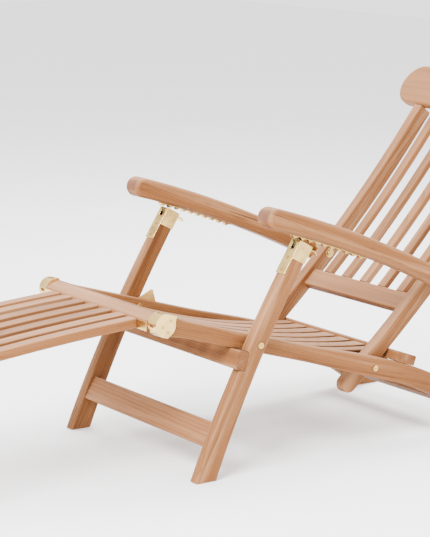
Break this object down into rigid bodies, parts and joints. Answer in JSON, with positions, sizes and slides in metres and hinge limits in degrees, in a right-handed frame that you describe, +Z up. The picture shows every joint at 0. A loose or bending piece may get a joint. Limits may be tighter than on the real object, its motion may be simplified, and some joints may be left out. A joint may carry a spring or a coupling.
{
  "type": "reclining deck chair",
  "caption": "Folding reclining deck chair in oiled teak with slatted seat, curved back, rack-adjusted arms and a hinged leg rest on fold-out legs.",
  "frame": {"origin": "on the floor, under the middle of the chair's width and length", "axes": "+X to the sitter's left, +Y along the chair towards the head end, +Z up"},
  "size_m": [0.6, 1.6332, 0.7913],
  "materials": {
    "teak": "sanded and lightly oiled teak",
    "brass": "polished brass"
  },
  "bodies": {
    "seat_frame": {"side_rail_left": "teak", "side_rail_right": "teak", "seat_front_board": "teak", "rear_cross_board": "teak", "rear_stretcher": "teak", "seat_bearer": "teak", "seat_ledger": "teak", "seat_slat_1": "teak", "seat_slat_2": "teak", "seat_slat_3": "teak", "seat_slat_4": "teak", "seat_slat_5": "teak", "seat_slat_6": "teak", "seat_slat_7": "teak", "hinge_cap_left": "brass", "hinge_cap_right": "brass", "knee_pins": "brass", "hinge_cap_screws": "brass", "stop_brackets": "brass", "front_pivot_bolts": "brass", "back_pivot_bolts": "brass", "pivot_washers": "brass"},
    "front_frame": {"front_leg_left": "teak", "front_leg_right": "teak", "lower_stretcher": "teak", "upper_crossbar": "teak", "catch_bracket_left": "brass", "catch_bracket_right": "brass", "catch_pins": "brass", "bracket_screws": "brass"},
    "backrest": {"back_stile_left": "teak", "back_stile_right": "teak", "head_rail": "teak", "back_bottom_rail": "teak", "back_slat_1": "teak", "back_slat_2": "teak", "back_slat_3": "teak", "back_slat_4": "teak", "back_slat_5": "teak", "arm_pivot_bolts": "brass", "arm_spacers": "brass"},
    "arm_left_unit": {"armrest_left": "teak", "rack_left": "brass"},
    "arm_right_unit": {"armrest_right": "teak", "rack_right": "brass"},
    "leg_rest": {"knee_board": "teak", "knee_leaves": "brass", "leg_rest_rail_left": "teak", "leg_rest_rail_right": "teak", "foot_rail": "teak", "leg_rest_slat_1": "teak", "leg_rest_slat_2": "teak", "leg_rest_slat_3": "teak", "leg_rest_slat_4": "teak", "leg_rest_slat_5": "teak", "foot_leg_bolts": "brass"},
    "foot_legs": {"foot_leg_left": "teak", "foot_leg_right": "teak", "foot_leg_stretcher": "teak"}
  },
  "joints": [
    {"name": "front_legs_fold", "type": "hinge", "parent": "seat_frame", "child": "front_frame", "pos_m": [0, -0.0811, 0.281], "axis": [1, 0, 0], "range_deg": [0, 88]},
    {"name": "recline", "type": "hinge", "parent": "seat_frame", "child": "backrest", "pos_m": [0, 0.2559, 0.179], "axis": [1, 0, 0], "range_deg": [0, 30]},
    {"name": "arm_left_follow", "type": "hinge", "parent": "backrest", "child": "arm_left_unit", "pos_m": [0, 0.44924, 0.35571], "axis": [1, 0, 0], "range_deg": [-24.6, 0]},
    {"name": "arm_right_follow", "type": "hinge", "parent": "backrest", "child": "arm_right_unit", "pos_m": [0, 0.44924, 0.35571], "axis": [1, 0, 0], "range_deg": [-24.6, 0]},
    {"name": "leg_rest_tilt", "type": "hinge", "parent": "seat_frame", "child": "leg_rest", "pos_m": [0, -0.3091, 0.343], "axis": [1, 0, 0], "range_deg": [0, 35]},
    {"name": "foot_legs_fold", "type": "hinge", "parent": "leg_rest", "child": "foot_legs", "pos_m": [0, -0.7371, 0.302], "axis": [1, 0, 0], "range_deg": [0, 95]}
  ],
  "couplings": [
    {"joint": "arm_left_follow", "follows": "recline", "ratio": -0.82},
    {"joint": "arm_right_follow", "follows": "recline", "ratio": -0.82}
  ]
}
